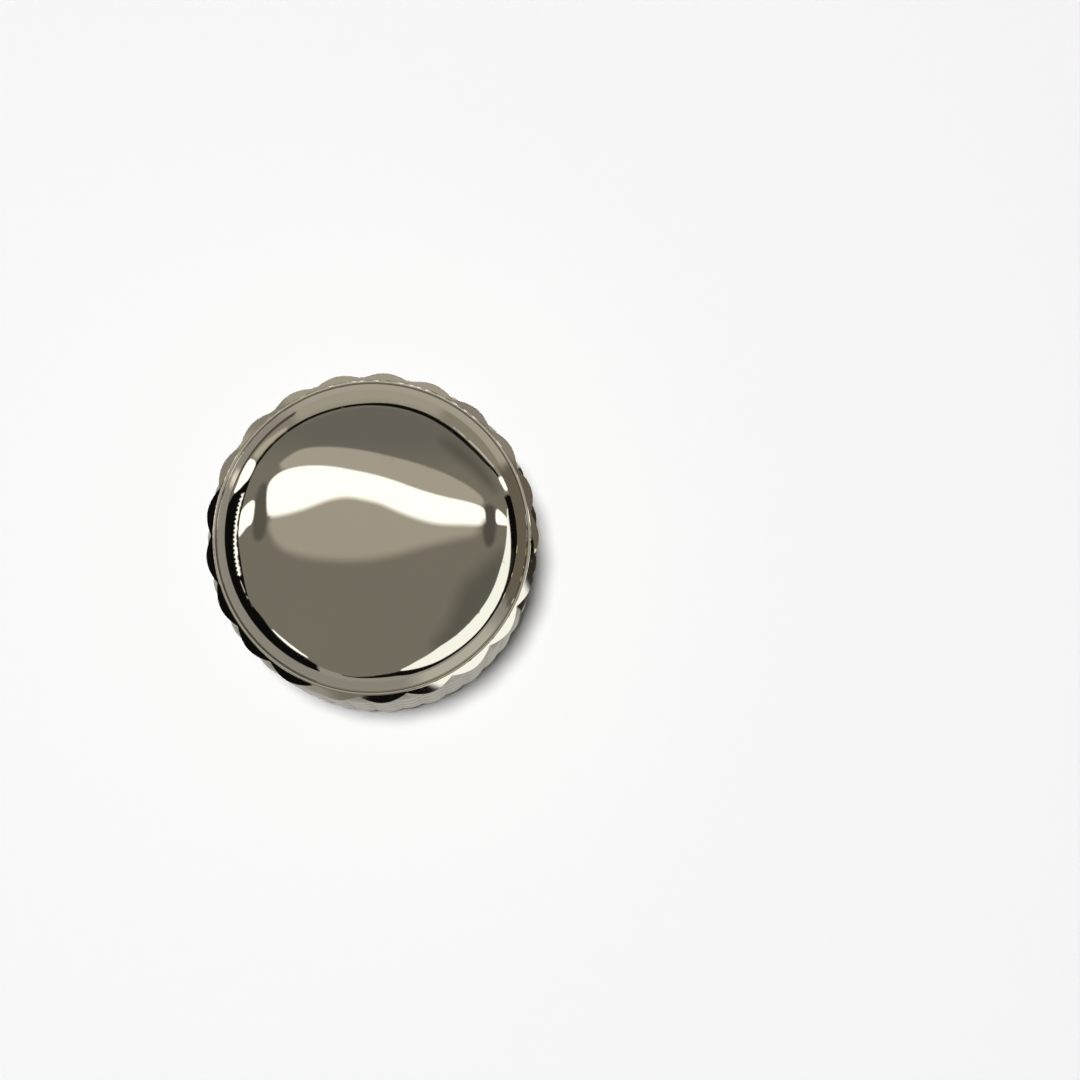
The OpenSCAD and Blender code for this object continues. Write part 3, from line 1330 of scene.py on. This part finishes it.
@dataclass
class Studio:
    """The bench, the lamps, and the tent of cards that the polished metal mirrors."""

    floor_colour: Colour = (0.9, 0.9, 0.9)
    floor_reach: float = 3.0
    floor_drop: float = 0.00002
    floor_grain: float = 900.0
    floor_fleck: float = 0.995
    tent_radius: float = 800.0
    tent_sill: float = 0.002
    nearest_card: float = 600.0
    card_gap: float = 5.0
    eye_height: float = 16.0
    ceiling: Colour = (0.27, 0.262, 0.228)
    north_ceiling: Colour = (0.215, 0.212, 0.19)
    north_from: float = 0.4
    north_to: float = 0.62
    ivory: Colour = (1.9, 1.95, 1.92)
    black: Colour = (0.006, 0.006, 0.006)
    key_power: float = 2.53
    key_size: float = 0.06
    key_place: tuple[float, float, float] = (-0.0226, -0.002, 0.5)
    fill_strength: float = 0.03
    backdrop: float = 0.95
    floor_lit_to: float = 75.0
    backdrop_from: float = 240.0

    def window_cards(self) -> list[SkyCard]:
        """Lists the big window overhead, its panes at both sides and the light round it.

        Returns:
            The cards, the farthest first.
        """
        window = (
            (-49.5, 24), (-49, 29), (-46, 33), (-41, 35.5), (-34, 36.5), (-27.5, 36.5),
            (-18.5, 35.5), (-9.5, 33.5), (-0.5, 31.5), (8, 29), (19.5, 25), (30.5, 22.5),
            (39.5, 21.5), (47, 20), (49.5, 18), (49.5, 11), (40, 10.5), (30.5, 10), (24, 10.5),
            (15, 13), (8.5, 15.5), (2, 18.5), (-4.5, 20), (-11.5, 21.5), (-18, 21), (-24.5, 19),
            (-31.5, 16.5), (-38, 15), (-45, 14), (-49, 14),
        )
        haze = (
            (-46, 36), (-41.5, 41), (-34.5, 45), (-25.5, 45.5), (-14, 44.5), (-3, 42.5), (10, 39.5),
            (23.5, 36), (35, 32), (44.5, 27), (49, 23), (48, 19), (34, 20), (10, 26), (-8, 30),
            (-30, 33),
        )
        pool = (
            (-49, 13), (-47.5, 6), (-43, -0.5), (-33.5, -4.5), (-20, -6.5), (-6.5, -7), (6.5, -5),
            (19.5, -1), (33, 3), (47, 6.5), (48, 14), (20, 16), (0, 22), (-15, 24), (-35, 18),
        )
        left_bar = ((-56, 3), (-56, 14), (-55, 25), (-51, 32), (-48, 27), (-49, 14), (-50, 4))
        right_bar = ((48.5, 4), (48.5, 14), (49, 21), (54, 21), (55, 14), (54.5, 4), (51.5, 0))
        left_pane = (
            (-55, 23), (-55.5, 16), (-56.5, 11.5), (-59, 10.5), (-61.5, 7.5), (-64, 5.5), (-64, 10),
            (-63, 15.5), (-61.5, 19), (-58, 22),
        )
        right_pane = ((54.5, 20), (57, 18.5), (60, 16), (61.5, 12), (57.5, 12), (54.5, 12))
        return [
            SkyCard("pool", pool, (0.55, 0.53, 0.46), 3.0, 6.0),
            SkyCard("haze_band", haze, (0.59, 0.565, 0.495), 1.5, 4.0),
            SkyCard("left_bar", left_bar, (0.155, 0.148, 0.13), 2.5),
            SkyCard("right_bar", right_bar, (0.13, 0.122, 0.11), 2.5),
            SkyCard("window", window, self.ivory, 1.2, 3.5),
            SkyCard("left_pane", left_pane, self.ivory, 0.8),
            SkyCard("right_pane", right_pane, self.ivory, 0.8),
        ]

    def wall_cards(self) -> list[SkyCard]:
        """Lists the cards low on the walls, which the dome shows along its edge.

        Returns:
            The cards, the farthest first.
        """
        gap = ribbon(
            (65.6, 66.4, 31), (65, 66.2, 36), (63.8, 65.4, 40), (63.3, 65.2, 49), (63.8, 65.8, 57),
            (65.3, 67.3, 72), (66.1, 68, 84), (66.6, 67.9, 96), (67.1, 68.4, 108), (67.6, 69, 119),
            (67.9, 69.3, 128), (67.8, 69.1, 136), (67.4, 68.7, 144), (66.5, 67.9, 151),
        )
        curtain = ribbon(
            (66.5, 67.9, 150), (66, 68.4, 153), (65.6, 70, 155.5), (65.2, 71.3, 158),
            (64.8, 73, 160), (64.5, 76, 165), (63.5, 76, 176), (62.5, 76, 184), (62.5, 76, 192),
            (63.5, 76, 202), (61.5, 76, 210), (61.5, 76, 219), (61, 76, 229), (60.5, 76, 237),
            (61, 76, 245),
        )
        left_glint = (
            (-67, 46.5), (-65.5, 44.5), (-65.5, 43), (-67, 39.5), (-68.5, 36.5), (-70, 34),
            (-71.5, 32.5), (-73.5, 30), (-75.5, 28), (-77, 26.5), (-77, 28.5), (-75.5, 31.5),
            (-74.5, 34.5), (-73.5, 37.5), (-72, 40.5), (-70.5, 43.5), (-69, 45.5),
        )
        gleam = ribbon((69.2, 71, 126), (69.5, 72.5, 136), (69.5, 72.5, 143))
        east_shade = ((26, 52), (36, 50), (50, 38), (57, 26), (51, 29), (42, 37), (32, 44))
        skirting = ribbon(
            (61, 61.5, 254), (61.2, 62, 258), (60.5, 61.6, 263), (59.2, 60.7, 272),
            (58.7, 60.7, 279), (58.3, 62.5, 284), (59, 63, 295), (60.4, 63, 303),
            (61.2, 63.4, 313), (62, 64, 324), (62.4, 64.8, 335), (62.5, 65.7, 346),
            (62.6, 66.5, 357), (62.6, 67, 365), (63, 68, 374), (64, 69, 379), (64, 68, 385),
        )
        shade = ribbon(
            (51, 58, 300), (47, 58, 316), (43, 59, 330), (43, 60, 340), (50, 61, 352),
            (57, 61, 360),
        )
        crescent = ribbon(
            (58, 58.5, 281), (56, 59.5, 290), (54.5, 60.6, 303), (55, 61.3, 313), (55.5, 62, 322),
            (56.8, 62.4, 335), (58, 62.6, 351), (60, 62.6, 363), (62, 63, 374), (63.5, 64, 379),
        )
        comb = comb_outline(((66, 156), (63.1, 190)), ((67.8, 156.5), (65.6, 190.5)), 1.0, 19)
        thin_light = ribbon((64.4, 64.8, 192), (64, 64.5, 196), (63.5, 63.9, 201))
        low_streak = ribbon(
            (60.8, 61.2, 217), (59.9, 60.9, 224), (59.5, 60.6, 230), (59.6, 60, 238)
        )
        outer_light = ribbon(
            (66.6, 67.2, 36), (65.9, 66.6, 41), (65.8, 66.5, 50), (66.8, 67.2, 60)
        )
        right_glint = ribbon((65.9, 67.3, 25.5), (65.3, 68.2, 28.5), (65.7, 67.5, 32.5))
        return [
            SkyCard("black_gap", gap, self.black, 0.4, rounds=1),
            SkyCard("black_curtain", curtain, self.black, 0.4, rounds=1),
            SkyCard("skirting", skirting, self.black, 0.3, rounds=1),
            SkyCard("soft_shade", shade, (0.165, 0.161, 0.14), 11.0, grid=2.5),
            SkyCard("east_shade", east_shade, (0.155, 0.151, 0.13), 8.0, grid=2.0),
            SkyCard("side_panel", crescent, (1.5, 1.58, 1.56), 0.4, rounds=1),
            SkyCard("comb", comb, self.ivory, 0.25, rounds=0),
            SkyCard("thin_light", thin_light, (0.9, 0.9, 0.85), 0.3, rounds=1),
            SkyCard("low_streak", low_streak, self.ivory, 0.3, rounds=1),
            SkyCard("gleam", gleam, (0.66, 0.63, 0.55), 1.5, rounds=1),
            SkyCard("left_glint", left_glint, self.ivory, 0.6, rounds=1, distance=16.0),
            SkyCard("outer_light", outer_light, (0.9, 0.9, 0.85), 0.4, rounds=1),
            SkyCard("right_glint", right_glint, self.ivory, 0.4, rounds=1),
        ]

    def horizon_cards(self) -> list[SkyCard]:
        """Lists the walls down at the horizon, which the chamfer and the creases show.

        Returns:
            The cards, the farthest first.
        """
        north_wall = ribbon(
            (65, 91, 22), (64.5, 91, 49), (66.3, 91, 72), (67.2, 91, 96), (68.2, 91, 119),
            (68.5, 91, 130), (68.2, 91, 144), (68, 91, 158),
        )
        north_light = ribbon((67, 84, 66), (68, 84, 96), (69, 84, 122))
        return [
            SkyCard("south_wall", ribbon((61, 91, 240), (61, 91, 345)), (0.45, 0.44, 0.41), 0.6),
            SkyCard("north_wall", north_wall, (0.37, 0.355, 0.31), 0.4, rounds=0),
            SkyCard("north_light", north_light, (0.54, 0.52, 0.455), 7.0),
            SkyCard("north_horizon", ribbon((78, 91, 30), (78, 91, 122)), (0.5, 0.48, 0.42), 4.0),
            SkyCard("west_brown", ribbon((74, 91, 120), (74, 91, 204)), (0.11, 0.095, 0.08), 1.5),
            SkyCard("east_dark", ribbon((65, 91, 345), (65, 91, 384)), (0.03, 0.028, 0.025), 0.6),
        ]

    def sheets(self) -> list[Sheet]:
        """Lists the sheets on the bench, the slope beside it and the small sheets on that.

        Returns:
            The sheets, the lowest first.
        """
        east = (-26.0, 36.0)
        near_paper = Sheet("near_paper", (0.5, 0.495, 0.47), 9.0, 0.8, heights=(0.15, 0.15))
        paper = Sheet("paper", (0.4, 0.39, 0.365), 14.0, 9.0)
        raised = [
            Sheet(name, radiance, inner, fade, heights=(height, 0.3), turns=turns, soft_turn=soft)
            for name, radiance, inner, fade, height, turns, soft in (
                ("north_paper", (0.56, 0.55, 0.5), 14.0, 9.0, 0.6, (15.0, 130.0), 14.0),
                ("south_paper", (0.68, 0.68, 0.63), 14.0, 9.0, 0.9, (280.0, 334.0), 14.0),
                ("west_streak", (1.15, 1.12, 1.0), 30.0, 15.0, 0.9, (148.0, 158.0), 4.0),
            )
        ]
        shelf = Sheet("dark_shelf", (0.045, 0.038, 0.028), 9.5, 1.5, 60.0, (0.9, 0.9), east, 3.0)
        slope = Sheet("brown_slope", (0.2, 0.178, 0.14), 22.0, 0.5, 28.0, (1.0, 24.0), east, 3.0)
        chips = [
            Sheet(name, radiance, 26.4, 0.1, 27.6, (20.0, 23.8), turns, 0.7)
            for name, radiance, turns in (
                ("gold_strip", (1.7, 1.45, 0.9), (-3.0, 1.0)),
                ("gold_chip", (1.6, 1.35, 0.85), (-13.0, -10.5)),
                ("white_chip", (1.7, 1.7, 1.6), (-22.5, -19.5)),
            )
        ]
        return [near_paper, paper, *raised, shelf, slope, *chips]

    def aim(self, place: Point2, distance: float) -> Vector:
        """Returns the point, in metres, that lies that way from the knob's top.

        Args:
            place: Degrees from straight above, to the right and up the picture.
            distance: The distance from the knob, in millimetres.

        Returns:
            The point.
        """
        tilt = math.radians(math.hypot(*place))
        turn = math.atan2(place[1], place[0])
        level = math.sin(tilt)
        way = Vector((level * math.cos(turn), level * math.sin(turn), math.cos(tilt)))
        return (Vector((0.0, 0.0, self.eye_height)) + way * distance) * MM

    def show_to_gloss(self, name: str, mesh: bpy.types.Mesh) -> bpy.types.Object:
        """Adds a piece that only the metal sees."""
        piece = add_object(name, mesh)
        piece.visible_camera = False
        piece.visible_diffuse = False
        piece.visible_transmission = False
        piece.visible_volume_scatter = False
        piece.visible_shadow = False
        return piece

    def hang(self, card: SkyCard, distance: float) -> None:
        """Hangs one card of the tent.

        Args:
            card: The card.
            distance: Its distance from the knob, in millimetres.
        """
        places, faces, fades = card.plan()
        reach = card.distance or distance
        points = [tuple(self.aim((place.x, place.y), reach)) for place in places]
        self.glow_card(card.name, points, [face[::-1] for face in faces], fades, card.radiance)

    def glow_card(
        self,
        name: str,
        points: Sequence[tuple[float, float, float]],
        faces: Sequence[tuple[int, ...]],
        fades: Sequence[float],
        radiance: Colour,
    ) -> None:
        """Makes a glowing card that only the metal sees.

        Args:
            name: The card's name.
            points: Its points, in metres.
            faces: Its faces.
            fades: For each point, how solid the card is there, from 0 to 1.
            radiance: Its brightness.
        """
        mesh = bpy.data.meshes.new(name)
        mesh.from_pydata(points, [], faces)
        fade = mesh.attributes.new("fade", "FLOAT", "POINT")
        for point, share in zip(fade.data, fades):
            point.value = share
        material, bench, surface = start_glow(name)
        share = bench.add("ShaderNodeAttribute", attribute_name="fade").outputs["Fac"]
        behind = bench.add("ShaderNodeNewGeometry").outputs["Backfacing"]
        facing = bench.math("SUBTRACT", 1.0, behind)
        feeds = {
            0: bench.math("MULTIPLY", bench.remap(share, 0.0, 1.0), facing),
            1: bench.add("ShaderNodeBsdfTransparent").outputs[0],
            2: bench.add("ShaderNodeEmission", {"Color": radiance}).outputs[0],
        }
        bench.feed(surface, bench.add("ShaderNodeMixShader", feeds).outputs[0])
        mesh.materials.append(material)
        piece = self.show_to_gloss(name, mesh)

    def pitch_tent(self) -> None:
        """Puts up the tent, a dim half ball that only the metal sees."""
        section = arc((0.0, self.eye_height), self.tent_radius, 90.0, -1.0, 32)
        under = (0.0, self.eye_height - self.tent_radius * 0.02)
        mesh = ring_shell("tent", [lathe_ring(point) for point in [*section, under]], 64)
        mesh.transform(Matrix.Scale(MM, 4))
        with editing(mesh) as shape:
            low = [face for face in shape.faces if face.calc_center_median().z < self.tent_sill]
            bmesh.ops.delete(shape, geom=low, context="FACES")
        material, bench, surface = start_glow("tent")
        split = bench.add("ShaderNodeSeparateXYZ", {0: bench.object_point()})
        north = bench.remap(split.outputs["Y"], self.north_from, self.north_to)
        colour = bench.mix(north, self.ceiling, self.north_ceiling)
        bench.feed(surface, bench.add("ShaderNodeEmission", {"Color": colour}).outputs[0])
        mesh.materials.append(material)
        piece = self.show_to_gloss("tent", mesh)

    def lay_floor(self) -> None:
        """Lays the pale bench top, which far from the knob runs into the white backdrop."""
        mesh = bpy.data.meshes.new("bench_top")
        corners = [(-1, -1), (1, -1), (1, 1), (-1, 1)]
        reach, level = self.floor_reach, -self.floor_drop
        mesh.from_pydata([(x * reach, y * reach, level) for x, y in corners], [], [(0, 1, 2, 3)])
        material, bench, shader = start_material("bench_top")
        point = bench.object_point()
        shader.inputs["Specular IOR Level"].default_value = 0.0
        shader.inputs["Roughness"].default_value = 1.0
        darker = tuple(part * self.floor_fleck for part in self.floor_colour)
        colour = bench.mix(bench.noise(point, self.floor_grain), self.floor_colour, darker)
        bench.feed(shader.inputs["Base Color"], colour)
        radius = TurnedPlace(bench, point).radius
        far = bench.remap(radius, self.floor_lit_to * MM, self.backdrop_from * MM)
        feeds = {
            0: bench.math("MULTIPLY", far, bench.seen_outright()),
            1: shader.outputs[0],
            2: bench.add("ShaderNodeEmission", {"Strength": self.backdrop}).outputs[0],
        }
        surface = material.node_tree.get_output_node("ALL").inputs["Surface"]
        bench.feed(surface, bench.add("ShaderNodeMixShader", feeds).outputs[0])
        mesh.materials.append(material)
        floor = add_object("bench_top", mesh)

    def light(self) -> None:
        """Sets the key lamp up to the left, and the even light of the room."""
        lamp = bpy.data.lights.new("key_lamp", "AREA")
        lamp.shape = "DISK"
        lamp.size = self.key_size
        lamp.energy = self.key_power
        piece = add_object("key_lamp", lamp)
        piece.location = self.key_place
        piece.rotation_euler = (-Vector(self.key_place)).to_track_quat("-Z", "Y").to_euler()
        piece.visible_glossy = False
        piece.visible_camera = False

        world = bpy.data.worlds.new("room")
        world.use_nodes = True
        bench = NodeBench(world.node_tree)
        feeds = {
            "Value": bench.seen_outright(),
            "To Min": self.fill_strength,
            "To Max": self.backdrop,
        }
        level = bench.add("ShaderNodeMapRange", feeds)
        back = world.node_tree.nodes["Background"]
        bench.feed(back.inputs["Strength"], level.outputs[0])
        bench.feed(back.inputs["Color"], (1.0, 1.0, 1.0))
        bpy.context.scene.world = world

    def build(self) -> None:
        """Sets up the whole studio."""
        self.lay_floor()
        sheets = self.sheets()
        for sheet in sheets:
            points, faces, fades = sheet.plan()
            metres = [tuple(point * MM) for point in points]
            self.glow_card(sheet.name, metres, faces, fades, sheet.radiance)
        self.pitch_tent()
        cards = self.horizon_cards() + self.window_cards() + self.wall_cards()
        for place, card in enumerate(reversed(cards)):
            self.hang(card, self.nearest_card + self.card_gap * place)
        self.light()
        LOG.info("studio: floor, tent, %d sheets and %d cards", len(sheets), len(cards))


@dataclass
class PhotoCamera:
    """The photograph's camera: nearly straight above, with the knob left of the middle."""

    place: tuple[float, float, float] = (5.3, -14.4, 140.5)
    aim: Point2 = (0.0339, 0.1131)
    focal_px: float = 2218.0
    frame_px: float = 1080.0
    sensor: float = 36.0

    def build(self) -> bpy.types.Object:
        """Makes the camera and gives it to the scene.

        Returns:
            The camera.
        """
        lens = bpy.data.cameras.new("photo_camera")
        lens.sensor_fit = "HORIZONTAL"
        lens.sensor_width = self.sensor
        lens.lens = self.focal_px / self.frame_px * self.sensor
        lens.clip_start = 0.001
        lens.clip_end = 20.0
        camera = add_object("photo_camera", lens)
        ahead = Vector((*self.aim, -1.0)).normalized()
        right = ahead.cross(Vector((0.0, 1.0, 0.0))).normalized()
        up = right.cross(ahead)
        turn = Matrix((right, up, -ahead)).transposed().to_4x4()
        camera.matrix_world = Matrix.Translation(Vector(self.place) * MM) @ turn
        bpy.context.scene.camera = camera
        return camera


def main() -> None:
    """Builds the knob and the studio round it."""
    logging.basicConfig(level=logging.INFO, format="%(name)s: %(message)s")
    scene = bpy.context.scene
    scene.view_settings.view_transform = "Standard"
    PhotoCamera().build()
    body = KnobBody()
    body.build()
    SetScrew().build(body)
    Studio().build()


if __name__ == "__main__":
    main()
